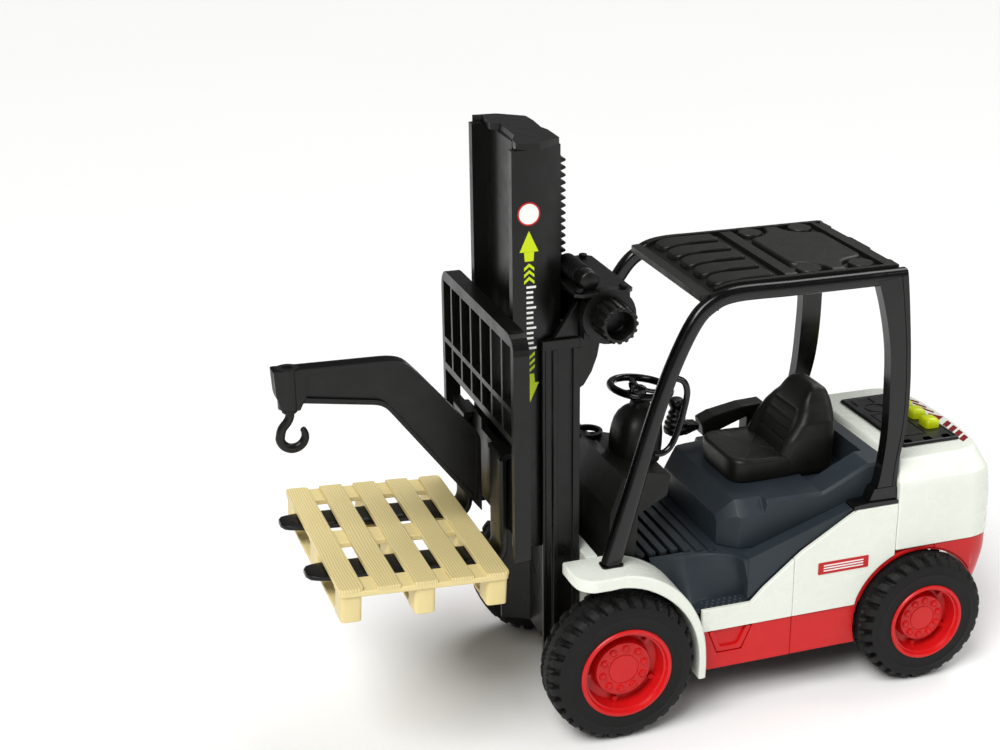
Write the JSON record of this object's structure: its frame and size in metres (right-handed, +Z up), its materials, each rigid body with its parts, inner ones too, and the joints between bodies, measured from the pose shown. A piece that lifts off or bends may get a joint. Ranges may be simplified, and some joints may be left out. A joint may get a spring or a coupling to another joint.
{
  "type": "toy forklift truck",
  "caption": "Toy forklift truck with a tall sliding mast, hand winch, two forks, load backrest, crane arm with hook, pallet, overhead guard, moulded seat and cab, and free-rolling wheels.",
  "frame": {"origin": "middle of the object's box in plan, on the ground under the tyres", "axes": "+Z up; +Y from the forks to the back of the truck, which faces -Y; +X to the truck's left side"},
  "size_m": [0.1222, 0.3164, 0.2535],
  "materials": {
    "white_body": "injection-moulded, glossy",
    "red_body": "injection-moulded, satin gloss",
    "cab_grey": "injection-moulded, matt",
    "black_moulding": "injection-moulded, satin",
    "black_gloss": "injection-moulded, glossy",
    "lime_button": "moulded, satin gloss",
    "pallet_beige": "moulded with a wood grain, satin",
    "tyre_rubber": "soft moulded, matt",
    "steel": "drawn wire",
    "board_green": "solder mask",
    "lens_red": "moulded, transparent red"
  },
  "bodies": {
    "truck": {"chassis_base": "black_moulding", "battery_cover": "black_moulding", "fender_left": "white_body", "fender_right": "white_body", "front_bulkhead": "white_body", "side_panel_left": "white_body", "side_panel_right": "white_body", "rear_body": "white_body", "sill_left": "red_body", "sill_right": "red_body", "skirt_left": "red_body", "skirt_right": "red_body", "rear_bumper": "red_body", "cab_floor": "cab_grey", "seat_pedestal": "cab_grey", "front_cowl": "black_moulding", "column_cover": "black_moulding", "seat_base": "black_moulding", "seat_shell": "black_moulding", "armrest": "black_moulding", "control_lever": "black_moulding", "guard_left": "black_gloss", "guard_right": "black_gloss", "roof_panel": "black_moulding", "grab_handle": "black_gloss", "outer_mast": "black_moulding", "winch_housing": "black_moulding", "winch_screw_1": "steel", "winch_screw_2": "steel", "winch_screw_3": "steel", "winch_screw_4": "steel", "deck_panel": "black_moulding", "deck_screw": "steel", "tail_lens": "lens_red", "circuit_board": "board_green", "speaker": "steel"},
    "lift": {"inner_mast": "black_moulding", "load_backrest": "black_moulding", "fork_left": "black_moulding", "fork_right": "black_moulding", "crane_arm": "black_moulding"},
    "hook": {"crane_hook": "black_moulding"},
    "pallet_body": {"pallet": "pallet_beige"},
    "winch": {"winch_pinion": "steel", "winch_knob": "black_moulding"},
    "front_wheels": {"front_axle": "steel", "front_tyre_left": "tyre_rubber", "front_rim_left": "red_body", "front_tyre_right": "tyre_rubber", "front_rim_right": "red_body"},
    "rear_wheels": {"rear_axle": "steel", "rear_tyre_left": "tyre_rubber", "rear_rim_left": "red_body", "rear_tyre_right": "tyre_rubber", "rear_rim_right": "red_body"},
    "steering": {"steering_wheel": "black_moulding"},
    "button_1": {"sound_button_1": "lime_button"},
    "button_2": {"sound_button_2": "lime_button"},
    "button_3": {"sound_button_3": "lime_button"}
  },
  "joints": [
    {"name": "front_axle_spin", "type": "hinge", "parent": "truck", "child": "front_wheels", "pos_m": [0, -0.0288, 0.033], "axis": [1, 0, 0], "continuous": true},
    {"name": "rear_axle_spin", "type": "hinge", "parent": "truck", "child": "rear_wheels", "pos_m": [0, 0.1162, 0.0302], "axis": [1, 0, 0], "continuous": true},
    {"name": "mast_lift", "type": "slide", "parent": "truck", "child": "lift", "axis": [0, 0, 1], "range_m": [-0.06, 0.02]},
    {"name": "winch_turn", "type": "hinge", "parent": "truck", "child": "winch", "pos_m": [0, -0.0294, 0.1836], "axis": [1, 0, 0], "range_deg": [-155, 460]},
    {"name": "steering_turn", "type": "hinge", "parent": "truck", "child": "steering", "pos_m": [0, 0.0002, 0.136], "axis": [0, 0.1219, 0.9925], "continuous": true},
    {"name": "hook_swivel", "type": "hinge", "parent": "lift", "child": "hook", "pos_m": [0, -0.152, 0.15], "axis": [0, 0, 1], "continuous": true},
    {"name": "pallet_slide", "type": "slide", "parent": "lift", "child": "pallet_body", "axis": [0, -0.9986, 0.0523], "range_m": [0, 0.085]},
    {"name": "button_1_press", "type": "slide", "parent": "truck", "child": "button_1", "axis": [0, 0, -1], "range_m": [0, 0.0015], "stiffness_N_per_m": 200, "springref_m": -0.0005},
    {"name": "button_2_press", "type": "slide", "parent": "truck", "child": "button_2", "axis": [0, 0, -1], "range_m": [0, 0.0015], "stiffness_N_per_m": 200, "springref_m": -0.0005},
    {"name": "button_3_press", "type": "slide", "parent": "truck", "child": "button_3", "axis": [0, 0, -1], "range_m": [0, 0.0015], "stiffness_N_per_m": 200, "springref_m": -0.0005}
  ],
  "couplings": [
    {"joint": "winch_turn", "follows": "mast_lift", "rad_per_m": -133.33}
  ]
}
